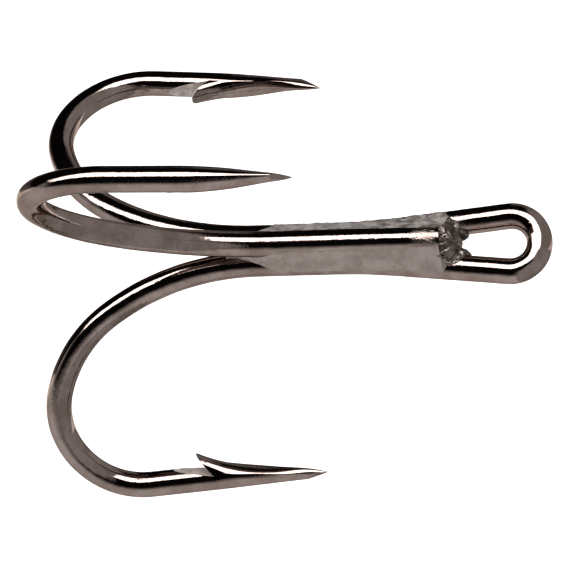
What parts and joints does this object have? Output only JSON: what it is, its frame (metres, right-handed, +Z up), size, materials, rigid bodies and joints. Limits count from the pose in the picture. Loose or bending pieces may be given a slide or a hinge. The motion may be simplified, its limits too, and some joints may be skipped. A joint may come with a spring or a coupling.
{
  "type": "treble hook",
  "caption": "Fishing treble hook: a double hook bent from one wire with an open-loop eye, and a single hook brazed into its groove, all points barbed on the inner side.",
  "frame": {"origin": "centre of the eye's round crown, in the plane of the eye", "axes": "+Z up along the shank towards the eye, -Y towards the single hook, the hole of the eye runs along Y"},
  "size_m": [0.0359, 0.0345, 0.0426],
  "materials": {
    "plated_wire": "polished black nickel plate on steel wire",
    "plated_braze": "rough braze under black nickel plate"
  },
  "bodies": {
    "root": {"double_hook_wire": "plated_wire", "single_hook_wire": "plated_wire", "braze_core": "plated_braze", "braze_seam_left": "plated_braze", "braze_seam_right": "plated_braze", "braze_seam_back": "plated_braze", "braze_collar": "plated_braze"}
  },
  "joints": []
}
